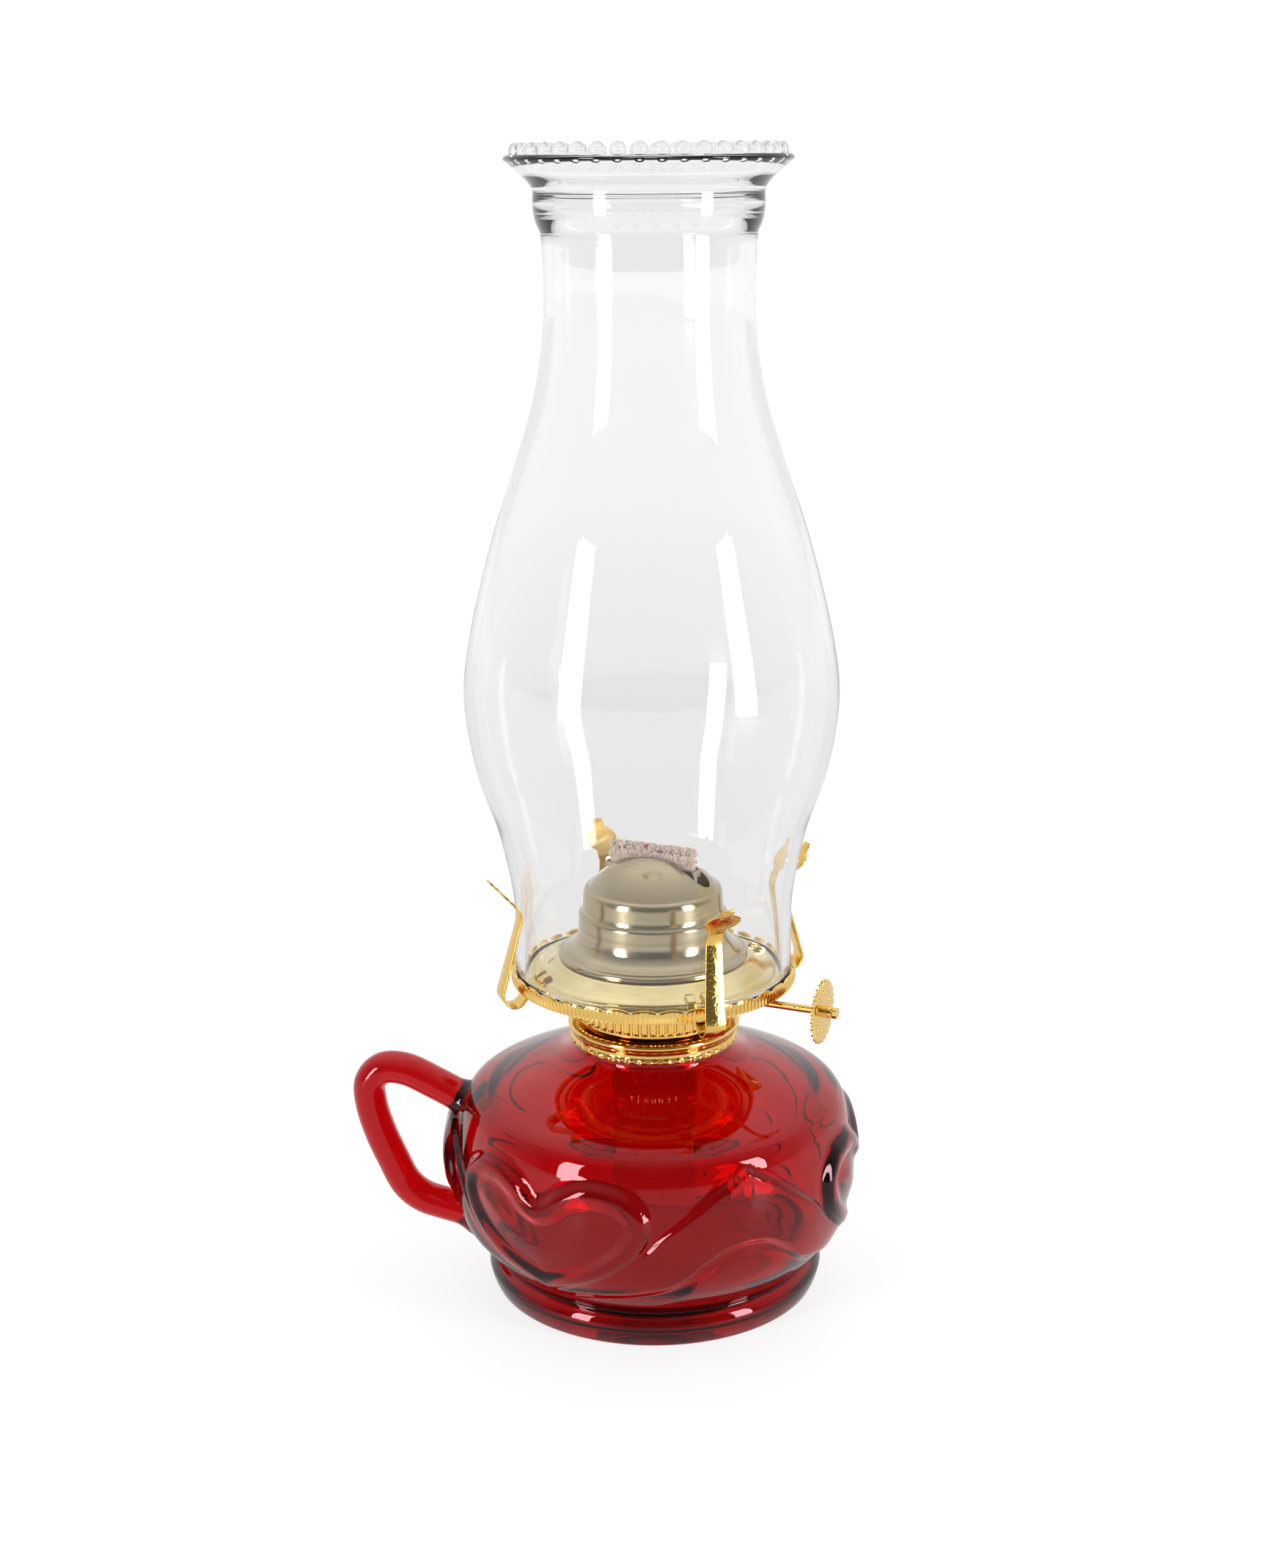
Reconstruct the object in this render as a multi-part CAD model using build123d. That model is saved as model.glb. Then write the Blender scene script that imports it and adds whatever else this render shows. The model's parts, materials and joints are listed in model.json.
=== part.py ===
from build123d import *
from math import cos, hypot, radians, sin
import os

# Hand lamp with a No. 2 flat-wick burner. Millimetres, +Z up, origin at the centre of the foot's underside.
# The ring handle points along -X.

# Driving dimensions
GLASS_FOOT_R = 47.3
FONT_R = 55.6              # plain body, without the raised hearts
NECK_R = 21.8
NECK_BORE_R = 17.2
NECK_TOP_Z = 77.0
HEART_RELIEF = 2.6
LEAF_RELIEF = 1.5
THREAD_R = 15.9            # 1 1/4 inch collar of a No. 2 burner
THREAD_PITCH = 1.8
THREAD_DEPTH = 0.6
THREAD_GAP = 0.35
SHEET = 0.6                # brass sheet of the burner
CUP_R = 21.5
CUP_FLOOR_Z = 78.9
SCREEN_Z = 93.2
DOME_TOP_Z = 125.6
DOME_FULLNESS = 2.3
RIB_COUNT = 60
GALLERY_R = 39.3
SEAT_Z = 92.4              # where the chimney stands
BEAD_COUNT = 40
BEAD_R = 2.4
BEAD_RING_R = 32.7
WICK_WIDTH = 25.4
WICK_THICK = 2.6
WICK_TOP_Z = 128.0
WICK_LENGTH = 104.0
WICK_PLAY = 0.4            # between the wick and each wall of its tube
TUBE_WALL = 0.45
BURNER_TURN = -20.0        # direction of the raiser shaft about Z, degrees
SHAFT_R = 1.0
SHAFT_Z = 88.0
SPUR_R = 3.6
SPUR_BITE_GAP = 0.15       # between the spur tips and the plain face of the wick
SHAFT_START = -12.0
SPUR_PLACES = [-7.5, -2.5, 2.5, 7.5]  # along the shaft
SPUR_TEETH = 12
SPUR_DEPTH = 0.9
WHEEL_R = 8.75
WHEEL_AT = 51.3            # distance of the thumb wheel along the shaft
WHEEL_THICK = 0.8
WHEEL_NOTCHES = 24
HUB_R = 1.9
HUB_LENGTH = 4.6
PRONG_ANGLES = [BURNER_TURN - 45 + 90 * i for i in range(4)]
PRONG_THICK = 0.6
PRONG_HINGE_R = 31.0
PRONG_HINGE_Z = 91.45
PRONG_LEANS = [2.4, 0.0, 0.0, 0.0]  # how far each disc stands to one side of its foot
HANDLE_ROOT_RELIEF = 2.4
HANDLE_HALF_WIDTH = 5.5
HANDLE_HALF_DEPTH = 4.6

SHAFT_OFFSET = WICK_THICK / 2 + SPUR_BITE_GAP + SPUR_R
SHAFT_END = WHEEL_AT + 4.3


def spun(face):
    return revolve(face, Axis.Z)


def ring(outer, inner, low, high):
    return Pos(0, 0, low) * (extrude(Circle(outer), high - low) - extrude(Circle(inner), high - low))


def closed_face(*lines):
    return make_face(Wire([edge for line in lines for edge in line.edges()]))


def xz(points):
    return [Vector(r, 0, z) for r, z in points]


def band(points, wall):
    """A strip of sheet metal that follows the points, its wall on the left of the line."""
    inner = []
    for i, (r, z) in enumerate(points):
        before = points[max(i - 1, 0)]
        after = points[min(i + 1, len(points) - 1)]
        length = hypot(after[0] - before[0], after[1] - before[1])
        inner_r = max(r - wall * (after[1] - before[1]) / length, 0)
        inner.append((inner_r, z + wall * (after[0] - before[0]) / length))
    return Polyline(xz(points + inner[::-1]), close=True)


def sheet_spun(points, wall=SHEET):
    return spun(make_face(band(points, wall)))


def save(shape, name):
    shape.label = name
    export_step(shape, f"parts/{name}.step")
    print(f"{name}: {shape.volume:.0f} mm3")


# Glass font with its foot, handle, hearts and leaves

BODY_OUTLINE = [(46.3, 11.0), (50.0, 16.5), (53.6, 24.0), (FONT_R, 37.0), (54.4, 47.0), (51.2, 55.6)]
RESERVOIR_WALL = [(40.0, 12.0), (46.4, 18.5), (50.0, 26.0), (51.8, 37.0), (50.2, 47.0), (45.6, 53.6)]
SHOULDER_OUTLINE = [(47.0, 59.4), (38.0, 62.9), (28.0, 66.0), (22.6, 69.4), (NECK_R, 72.0)]
FOOT_OUTLINE = [(0, 0), (45.3, 0), (GLASS_FOOT_R, 6.0), (46.4, 8.2), (44.8, 9.6), (45.6, 10.4)]
HANDLE_ROUTE = [(-50.5, 50.5), (-72.5, 62.2), (-81.8, 56.6), (-79.4, 42.0), (-72.5, 25.5), (-64.5, 20.0),
                (-50.0, 16.0)]
HANDLE_RADII = [8.4, 8.4, 40, 20, 20]
HEART_HALF = [(0, 42), (5, 47), (14, 50), (24, 48.5), (30.2, 41), (26.5, 30), (14, 21), (0, 16)]
LEAF_TOP = [(-24, 17), (-2, 30.6), (12, 42.8), (24, 52)]
LEAF_BOTTOM = [(24, 52), (20, 31.3), (8, 21), (-5, 17.5), (-24, 17)]


def font_envelope(extra=0.0):
    """The solid outer form of the font, its body swollen by extra."""
    body = xz([(r + extra, z) for r, z in BODY_OUTLINE])
    shoulder = xz([(BODY_OUTLINE[-1][0] + extra, BODY_OUTLINE[-1][1])] + SHOULDER_OUTLINE)
    foot = xz(FOOT_OUTLINE)
    neck = xz([(NECK_R, 72.0), (20.4, 72.2), (20.4, NECK_TOP_Z), (0, NECK_TOP_Z), (0, 0)])
    hip = Line(foot[-1], body[0])
    return spun(closed_face(Polyline(foot), hip, Spline(body), Spline(shoulder), Polyline(neck)))


def reservoir():
    floor = Line(Vector(0, 0, 11.0), Vector(40.0, 0, 12.0))
    shoulder = Spline(xz([(45.6, 53.6), (38.0, 58.2), (27.0, 62.0), (19.5, 65.6), (NECK_BORE_R, 69.5)]))
    top = NECK_TOP_Z + 1
    bore = Polyline(xz([(NECK_BORE_R, 69.5), (NECK_BORE_R, top), (0, top), (0, 11.0)]))
    return spun(closed_face(floor, Spline(xz(RESERVOIR_WALL)), shoulder, bore))


def relief(face, depth, turn):
    """A flat outline in the plane of y and z, raised on the font's body in the direction turn."""
    raised = extrude(Plane.YZ.offset(35) * face, 30) & font_envelope(depth)
    return Rot(0, 0, turn) * raised


def heart():
    right = Spline([Vector(y, z) for y, z in HEART_HALF])
    left = Spline([Vector(-y, z) for y, z in HEART_HALF[::-1]])
    return closed_face(right, left)


def leaf():
    top = Spline([Vector(y, z) for y, z in LEAF_TOP])
    bottom = Spline([Vector(y, z) for y, z in LEAF_BOTTOM])
    return closed_face(top, bottom)


def font_outside():
    """The font as a full solid, with three hearts, six leaves and the swelling under the handle."""
    body = font_envelope()
    heart_pad = relief(heart(), HEART_RELIEF, 0)
    body += [Rot(0, 0, turn) * heart_pad for turn in (0, 120, 240)]
    left_leaf = relief(leaf(), LEAF_RELIEF, 0)
    right_leaf = mirror(left_leaf, Plane.XZ)
    for middle in (-60, 60):
        body += Rot(0, 0, middle - 27) * left_leaf
        body += Rot(0, 0, middle + 27) * right_leaf
    return body + relief(Pos(0, 34) * Ellipse(15.0, 19.0), HANDLE_ROOT_RELIEF, 180)


def handle(body):
    """Ring handle of oval section, cut to the face of the body that carries it."""
    route = FilletPolyline(xz(HANDLE_ROUTE), radius=HANDLE_RADII)
    start = Plane(origin=route @ 0, z_dir=route % 0, x_dir=(0, 1, 0))
    return sweep(start * Ellipse(HANDLE_HALF_WIDTH, HANDLE_HALF_DEPTH), path=route) - body


# Collar and burner, built round the Z axis with the shaft along +X, then turned

def along_shaft(shape, distance):
    """Puts a shape made round Z onto the raiser shaft, which runs along +X beside the wick."""
    return Pos(distance, -SHAFT_OFFSET, SHAFT_Z) * Rot(0, 90, 0) * shape


def turned(shape):
    return Rot(0, 0, BURNER_TURN) * shape


def thread_line(radius, low, count):
    """The zigzag of a rolled thread, drawn as closed rings."""
    points = []
    for i in range(count):
        z = low + i * THREAD_PITCH
        points += [(radius - THREAD_DEPTH, z), (radius, z + THREAD_PITCH / 2)]
    return points


def collar_cement():
    return ring(22.2, 20.5, 72.4, 76.9)


def collar():
    thread = thread_line(THREAD_R + THREAD_GAP, 71.0, 4)
    skirt = [(23.9, 72.2), (23.9, 73.2), (23.3, 74.3), (23.3, 75.1)]
    top = [(22.8, 75.8), (22.8, 77.0), (22.2, 77.7), (17.2, 78.4), (THREAD_R + THREAD_GAP, 78.2)]
    return sheet_spun(skirt + top + thread[::-1], SHEET - 0.1)


def tube_section(extra=0.0):
    """The outside of the flat wick tube, with its width along X."""
    grown = 2 * (WICK_PLAY + TUBE_WALL + extra)
    return RectangleRounded(WICK_WIDTH + grown, WICK_THICK + grown, 0.6 + TUBE_WALL + extra)


def burner_base():
    """Threaded shell and floor plate in one, with the slot of the wick tube and a small vent."""
    neck = [(15.4, 78.4), (15.4, CUP_FLOOR_Z + 0.2)]
    shell = sheet_spun(thread_line(THREAD_R, 71.0, 4) + neck, SHEET - 0.1)
    plate = Pos(0, 0, CUP_FLOOR_Z + 0.25) * Cylinder(CUP_R, 0.5)
    slot = Pos(0, 0, CUP_FLOOR_Z) * extrude(tube_section(), 4, both=True)
    vent = Pos(-4, 9, CUP_FLOOR_Z) * Cylinder(1.2, 4)
    return shell + plate - slot - vent


def burner_cup():
    """Fluted air band, flared at the top to carry the gallery."""
    foot_z = CUP_FLOOR_Z + 0.5
    wall = [(CUP_R, foot_z), (CUP_R, 88.8), (21.9, 90.6), (23.2, 93.2), (24.4, 95.2), (24.4, 95.9)]
    rib = Pos(CUP_R, 0, foot_z + 3.1) * Cylinder(SHEET - 0.05, 4.8)
    ribs = [Rot(0, 0, i * 360 / RIB_COUNT) * rib for i in range(RIB_COUNT)]
    shaft_hole = Pos(20, -SHAFT_OFFSET, SHAFT_Z) * Rot(0, 90, 0) * Cylinder(SHAFT_R + 0.3, 8)
    return sheet_spun(wall) + ribs - shaft_hole


def air_screen():
    """Perforated plate round the wick tube."""
    plate = Pos(0, 0, SCREEN_Z) * extrude(Circle(22.4), 0.5)
    hole = Cylinder(0.8, 4)
    holes = [Rot(0, 0, (i + 0.5) * 360 / n) * Pos(r, 0, SCREEN_Z) * hole
             for r, n in ((19.6, 40), (16.2, 32), (12.8, 24)) for i in range(n)
             if abs(r * sin(radians((i + 0.5) * 360 / n))) > 4.5]
    return plate - holes - Pos(0, 0, SCREEN_Z) * extrude(tube_section(), 4, both=True)


def gallery():
    """Stamped dish with the chimney seat, the outer rim and a pair of lanced tabs over each prong."""
    rim = ring(GALLERY_R, GALLERY_R - SHEET, 89.7, 93.3)
    dish = sheet_spun([(GALLERY_R - 0.4, SEAT_Z), (34.8, SEAT_Z), (33.4, 93.0), (29.5, 94.3), (26.8, 96.2),
                       (25.8, 96.6), (24.0, 96.6)])
    tab = Pos(32.0, 0, 94.0) * Rot(0, 18, 0) * Box(2.6, 1.5, 1.6)
    tabs = [Rot(0, 0, angle - BURNER_TURN + side) * tab for angle in PRONG_ANGLES for side in (-4, 4)]
    vent = Rot(0, 0, -150) * Pos(28.0, 0, 94) * Cylinder(0.8, 8)
    return rim + dish + tabs - vent


def deflector():
    """Satin dome with a stepped wall, a rolled flange and the slot for the flame."""
    flange = [(26.1, 96.65), (26.2, 97.7), (25.6, 98.4)]
    barrel = [(23.4, 99.3), (21.5, 101.0), (20.6, 103.4), (20.4, 109.0), (19.6, 109.8), (19.3, 111.0)]
    wall = flange + barrel + [(19.15, 114.8), (18.5, 116.1), (17.3, 116.4)]
    edge_r, edge_z = wall[-1]
    steps = 14
    dome = []
    for i in range(1, steps + 1):
        r = edge_r * cos(radians(90 * i / steps))
        dome.append((r, edge_z + (DOME_TOP_Z - edge_z) * (1 - (r / edge_r) ** DOME_FULLNESS)))
    dome[-1] = (0, DOME_TOP_Z)
    slot = Pos(0, 0, 105) * extrude(SlotOverall(33.0, 7.0), 30)
    return sheet_spun(wall + dome) - slot


def wick_tube():
    low, high = 66.0, 122.0
    tube = extrude(tube_section(), high - low) - extrude(tube_section(-TUBE_WALL), high - low)
    windows = [Pos(x, -2, SHAFT_Z) * Box(1.7, 3.0, 5.8) for x in SPUR_PLACES]
    return Pos(0, 0, low) * tube - windows


def spur_cover():
    """Folded box on the face of the wick tube, with the two holes that the shaft turns in."""
    tube_face = WICK_THICK / 2 + WICK_PLAY + TUBE_WALL
    depth = SHAFT_OFFSET + SPUR_R + 1.0 - tube_face
    outside = Pos(0, -tube_face - depth / 2, SHAFT_Z) * Box(21.0, depth, 9.4)
    inside = Pos(0, -tube_face - depth / 2 + 0.5, SHAFT_Z) * Box(20.0, depth, 8.4)
    return outside - inside - along_shaft(Cylinder(SHAFT_R + 0.06, 30), 0)


def raiser_shaft():
    shaft = Cylinder(SHAFT_R, SHAFT_END - SHAFT_START)
    head = Cylinder(1.5, 1.2)
    return along_shaft(shaft, (SHAFT_START + SHAFT_END) / 2) + along_shaft(head, SHAFT_END - 0.6)


def spur_wheel(place):
    tips = []
    for i in range(2 * SPUR_TEETH):
        r = SPUR_R - SPUR_DEPTH * (i % 2)
        turn = radians(i * 180 / SPUR_TEETH)
        tips.append((r * cos(turn), r * sin(turn)))
    wheel = extrude(Polygon(*tips, align=None) - Circle(SHAFT_R), 0.4, both=True)
    return along_shaft(wheel, place)


def thumb_wheel():
    notch = Pos(WHEEL_R + 0.15, 0) * Circle(0.6)
    notches = [Rot(0, 0, i * 360 / WHEEL_NOTCHES) * notch for i in range(WHEEL_NOTCHES)]
    disc = extrude(Circle(WHEEL_R) - notches - Circle(HUB_R), WHEEL_THICK / 2, both=True)
    dimple = Pos(5.6, 0, WHEEL_THICK / 2) * Cylinder(0.5, 0.5)
    return along_shaft(disc + [Rot(0, 0, i * 36) * dimple for i in range(10)], WHEEL_AT)


def thumb_wheel_hub():
    hub = Cylinder(HUB_R, HUB_LENGTH) - Cylinder(SHAFT_R, HUB_LENGTH + 2)
    return along_shaft(hub, WHEEL_AT + 0.75)


def wick():
    return Pos(0, 0, WICK_TOP_Z - WICK_LENGTH / 2) * Box(WICK_WIDTH, WICK_THICK, WICK_LENGTH)


PRONG_FOOT = [(PRONG_HINGE_R, PRONG_HINGE_Z), (35.4, PRONG_HINGE_Z)]
PRONG_LINE = PRONG_FOOT + [(41.2, 84.2), (44.6, 89.6), (38.0, 112.4), (47.0, 122.2)]
PRONG_BENDS = [1.5, 3.0, 3.0, 5.0]


def prong(angle, lean):
    """Sprung strip: foot under the gallery, U-bend, riser that leans on the glass, disc and small tab."""
    line = FilletPolyline(xz(PRONG_LINE), radius=PRONG_BENDS)
    start = Plane(origin=line @ 0, z_dir=line % 0, x_dir=(0, 1, 0))
    strip = sweep(start * Rectangle(16.0, PRONG_THICK), path=line)
    right_edge = [(3.0, 83), (2.8, 93), (lean + 2.1, 116)]
    left_edge = [(lean - 2.1, 116), (-2.8, 93), (-3.0, 83)]
    riser = Polygon(*right_edge, *left_edge, align=None)
    disc = Pos(lean, 117.7) * Ellipse(5.0, 2.8)
    tab = Pos(lean, 120.6) * SlotOverall(5.0, 3.8, rotation=90)
    outline = extrude(Plane.YZ.offset(25) * (riser + disc + tab), 30)
    return Rot(0, 0, angle) * (strip & outline)


# Chimney, standing on the gallery

CHIMNEY_OUTSIDE = [(38.0, 92.45), (38.0, 103.0), (38.4, 115.0), (42.0, 133.0), (47.3, 149.5), (50.2, 169.0),
                   (48.2, 187.0), (42.4, 210.5), (36.0, 229.5), (30.4, 248.0), (27.6, 266.0), (27.3, 283.0),
                   (27.8, 290.0)]
CHIMNEY_WALL = 2.5
CHIMNEY_BORE_TOP = (24.8, 300.0)


def chimney():
    """Bellied glass with a thick neck band and a flared, beaded rim."""
    inside = [(r - CHIMNEY_WALL, z) for r, z in CHIMNEY_OUTSIDE[:-1]] + [CHIMNEY_BORE_TOP]
    neck_band = Polyline(xz([CHIMNEY_OUTSIDE[-1], (29.2, 294.0), (29.5, 300.4), (36.4, 306.4)]))
    lip = ThreePointArc(*xz([(36.4, 306.4), (36.9, 307.6), (35.4, 309.0)]))
    mouth = Polyline(xz([(35.4, 309.0), (30.4, 308.8), (26.6, 303.8), CHIMNEY_BORE_TOP]))
    foot = Line(*xz([inside[0], CHIMNEY_OUTSIDE[0]]))
    outer_face = Spline(xz(CHIMNEY_OUTSIDE))
    inner_face = Spline(xz(inside[::-1]))
    wall = spun(closed_face(outer_face, neck_band, lip, mouth, inner_face, foot))
    bead = Pos(BEAD_RING_R, 0, 309.8) * Sphere(BEAD_R)
    return wall + [Rot(0, 0, i * 360 / BEAD_COUNT) * bead for i in range(BEAD_COUNT)]


os.makedirs("parts", exist_ok=True)

font_solid = font_outside()
save(font_solid - reservoir(), "font")
save(handle(font_solid), "handle")
save(collar_cement(), "collar_cement")
save(collar(), "collar")
save(turned(burner_base()), "burner_base")
save(turned(burner_cup()), "burner_cup")
save(turned(air_screen()), "air_screen")
save(turned(gallery()), "gallery")
save(turned(deflector()), "deflector")
save(turned(wick_tube()), "wick_tube")
save(turned(spur_cover()), "spur_cover")
save(turned(raiser_shaft()), "raiser_shaft")
for number, place in enumerate(SPUR_PLACES, 1):
    save(turned(spur_wheel(place)), f"spur_wheel_{number}")
save(turned(thumb_wheel()), "thumb_wheel")
save(turned(thumb_wheel_hub()), "thumb_wheel_hub")
save(turned(wick()), "wick")
for number, (angle, lean) in enumerate(zip(PRONG_ANGLES, PRONG_LEANS), 1):
    save(prong(angle, lean), f"prong_{number}")
save(chimney(), "chimney")
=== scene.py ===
import json
import random
from math import atan2, cos, pi, radians, sin, tau
import bmesh
import bpy
import numpy as np
from mathutils import Matrix, Vector, noise


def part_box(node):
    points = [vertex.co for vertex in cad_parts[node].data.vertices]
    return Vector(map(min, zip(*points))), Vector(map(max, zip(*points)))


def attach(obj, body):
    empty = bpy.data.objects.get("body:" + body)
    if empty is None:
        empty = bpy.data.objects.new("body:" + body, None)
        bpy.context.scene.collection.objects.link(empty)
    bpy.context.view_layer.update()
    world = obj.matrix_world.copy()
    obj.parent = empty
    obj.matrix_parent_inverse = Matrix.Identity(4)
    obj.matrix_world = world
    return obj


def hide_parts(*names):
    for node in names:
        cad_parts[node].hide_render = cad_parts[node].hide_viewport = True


# Hand lamp: ruby glass font, flat wick burner and a beaded clear chimney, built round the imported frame.
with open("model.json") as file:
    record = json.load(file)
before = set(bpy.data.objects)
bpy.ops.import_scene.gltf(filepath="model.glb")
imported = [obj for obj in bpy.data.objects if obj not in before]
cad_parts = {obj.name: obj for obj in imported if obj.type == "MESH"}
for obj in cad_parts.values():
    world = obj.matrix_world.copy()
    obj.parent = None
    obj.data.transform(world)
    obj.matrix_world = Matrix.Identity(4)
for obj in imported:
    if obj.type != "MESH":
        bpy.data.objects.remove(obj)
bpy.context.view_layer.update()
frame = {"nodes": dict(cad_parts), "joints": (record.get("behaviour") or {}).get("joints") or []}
joints = {joint["name"]: joint for joint in frame["joints"]}
mm = 0.001
raiserPoint = Vector(joints["raiser_turn"]["pos_m"])
raiserAxis = Vector(joints["raiser_turn"]["axis"]).normalized()
burnerTurn = Matrix.Rotation(atan2(raiserAxis.y, raiserAxis.x), 4, "Z")
print("frame loaded")


# small tools that the pieces share
def smoothLine(points, perSpan=6):
    # a rounded line through a few points
    points = [Vector(point) for point in points]
    line = []
    for i in range(len(points) - 1):
        before, here = points[max(i - 1, 0)], points[i]
        there, after = points[i + 1], points[min(i + 2, len(points) - 1)]
        for k in range(perSpan):
            t = k / perSpan
            square = (2 * before - 5 * here + 4 * there - after) * t * t
            cube = (3 * here - before - 3 * there + after) * t ** 3
            line.append((2 * here + (there - before) * t + square + cube) / 2)
    return line + [points[-1]]


def softLine(points, radius, steps=4):
    # straight runs whose corners are rounded
    points = [Vector(point) for point in points]
    line = [points[0]]
    for before, corner, after in zip(points, points[1:], points[2:]):
        reach = min(radius, (before - corner).length * 0.48, (after - corner).length * 0.48)
        start = corner + (before - corner).normalized() * reach
        end = corner + (after - corner).normalized() * reach
        for k in range(steps + 1):
            t = k / steps
            line.append(start * (1 - t) ** 2 + corner * 2 * t * (1 - t) + end * t * t)
    return line + [points[-1]]


def sheetLoop(line, thick):
    # both faces of a strip of sheet metal, its thickness on the left of the line
    back = []
    for i, point in enumerate(line):
        along = (line[min(i + 1, len(line) - 1)] - line[max(i - 1, 0)]).normalized()
        back.append(Vector((max(point.x - along.y * thick, 0), point.y + along.x * thick)))
    return line + back[::-1]


def spinOutline(outline, steps, closed=True):
    # turns an outline of (radius, height) in mm into a closed shell
    bm = bmesh.new()
    verts = [bm.verts.new((point[0] * mm, 0, point[1] * mm)) for point in outline]
    edges = [bm.edges.new(pair) for pair in zip(verts, verts[1:])]
    if closed:
        edges.append(bm.edges.new((verts[-1], verts[0])))
    bmesh.ops.spin(bm, geom=verts + edges, cent=(0, 0, 0), axis=(0, 0, 1), angle=tau, steps=steps,
                   use_merge=True, use_duplicate=False)
    bmesh.ops.remove_doubles(bm, verts=bm.verts, dist=1e-6)
    bmesh.ops.dissolve_degenerate(bm, edges=bm.edges, dist=1e-7)
    bmesh.ops.recalc_face_normals(bm, faces=bm.faces)
    return bm


def sweepOval(stations, segments=32):
    # an oval tube through stations of (place, direction, half width, half depth) in mm
    bm = bmesh.new()
    ring = bmesh.ops.create_circle(bm, segments=segments, radius=1)["verts"]
    last = Matrix.Identity(4)
    first = None
    for place, along, wide, deep in stations:
        side = Vector((0, 1, 0))
        turn = Matrix((side, along.cross(side), along)).transposed().to_4x4()
        here = Matrix.Translation(place * mm) @ turn @ Matrix.Diagonal((wide * mm, deep * mm, 1, 1))
        if first is None:
            first = ring
        else:
            edges = [edge for edge in bm.edges if edge.verts[0] in ring and edge.verts[1] in ring]
            ring = vertsOf(bmesh.ops.extrude_edge_only(bm, edges=edges))
        bmesh.ops.transform(bm, matrix=here @ last.inverted(), verts=ring)
        last = here
    bmesh.ops.contextual_create(bm, geom=first)
    bmesh.ops.contextual_create(bm, geom=ring)
    bmesh.ops.recalc_face_normals(bm, faces=bm.faces)
    return bm


def addBox(bm, size, place):
    made = bmesh.ops.create_cube(bm, size=1)["verts"]
    scale = Matrix.Diagonal((size[0] * mm, size[1] * mm, size[2] * mm, 1))
    bmesh.ops.transform(bm, matrix=place @ scale, verts=made)
    edges = list({edge for vert in made for edge in vert.link_edges})
    rollEdges(bm, edges, 0.15, 2)


def vertsOf(made):
    return [item for item in made["geom"] if isinstance(item, bmesh.types.BMVert)]


def toObject(bm, name):
    mesh = bpy.data.meshes.new(name)
    bm.to_mesh(mesh)
    bm.free()
    piece = bpy.data.objects.new(name, mesh)
    bpy.context.scene.collection.objects.link(piece)
    return piece


def combine(piece, other, operation):
    # boolean of two closed shells; the other one is used up
    step = piece.modifiers.new("combine", "BOOLEAN")
    step.operation = operation
    step.solver = "MANIFOLD"
    step.object = other
    done = bpy.data.meshes.new_from_object(piece.evaluated_get(bpy.context.evaluated_depsgraph_get()))
    piece.modifiers.clear()
    done.name = piece.name
    piece.data = done
    bpy.data.objects.remove(other)
    return piece


def finishPiece(piece, materials, body, replaced=(), sharpAngle=35):
    piece.data.materials.clear()
    for material in materials:
        piece.data.materials.append(material)
    piece.data.shade_smooth()
    piece.data.set_sharp_from_angle(angle=radians(sharpAngle))
    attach(piece, body)
    if replaced:
        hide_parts(*replaced)
    print("made", piece.name, len(piece.data.polygons), "faces")
    return piece


def rollEdges(bm, edges, width, segments):
    bmesh.ops.bevel(bm, geom=edges, offset=width * mm, affect="EDGES", segments=segments, profile=0.5,
                    material=-1)


def sharpEdges(bm, angle):
    return [edge for edge in bm.edges if edge.calc_face_angle(0) > radians(angle)]


def readPlaces(piece):
    places = np.empty(len(piece.data.vertices) * 3)
    piece.data.vertices.foreach_get("co", places)
    return places.reshape(-1, 3)


def writePlaces(piece, places):
    piece.data.vertices.foreach_set("co", places.ravel())
    piece.data.update()


def easeBetween(low, high, value):
    t = np.clip((value - low) / (high - low), 0, 1)
    return t * t * (3 - 2 * t)


# finishes and the node groups that they share
def makeGroup(name, numbers, outputs):
    group = bpy.data.node_groups.new(name, "ShaderNodeTree")
    group.interface.new_socket("Vector", in_out="INPUT", socket_type="NodeSocketVector")
    for label, value in numbers.items():
        group.interface.new_socket(label, in_out="INPUT", socket_type="NodeSocketFloat").default_value = value
    for label in outputs:
        group.interface.new_socket(label, in_out="OUTPUT", socket_type="NodeSocketFloat")
    return group, group.nodes.new("NodeGroupInput"), group.nodes.new("NodeGroupOutput")


def noiseNode(tree, vector, scale, detail=3.0, roughness=0.5):
    node = tree.nodes.new("ShaderNodeTexNoise")
    node.inputs["Detail"].default_value = detail
    node.inputs["Roughness"].default_value = roughness
    tree.links.new(vector, node.inputs["Vector"])
    if isinstance(scale, (int, float)):
        node.inputs["Scale"].default_value = scale
    else:
        tree.links.new(scale, node.inputs["Scale"])
    return node.outputs["Fac"]


def mathNode(tree, operation, first, second):
    node = tree.nodes.new("ShaderNodeMath")
    node.operation = operation
    for socket, value in zip(node.inputs, (first, second)):
        if isinstance(value, (int, float)):
            socket.default_value = value
        else:
            tree.links.new(value, socket)
    return node.outputs[0]


def rangeNode(tree, value, fromLow, fromHigh, toLow, toHigh):
    node = tree.nodes.new("ShaderNodeMapRange")
    tree.links.new(value, node.inputs["Value"])
    limits = {"From Min": fromLow, "From Max": fromHigh, "To Min": toLow, "To Max": toHigh}
    for label, number in limits.items():
        if isinstance(number, (int, float)):
            node.inputs[label].default_value = number
        else:
            tree.links.new(number, node.inputs[label])
    return node.outputs["Result"]


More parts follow.
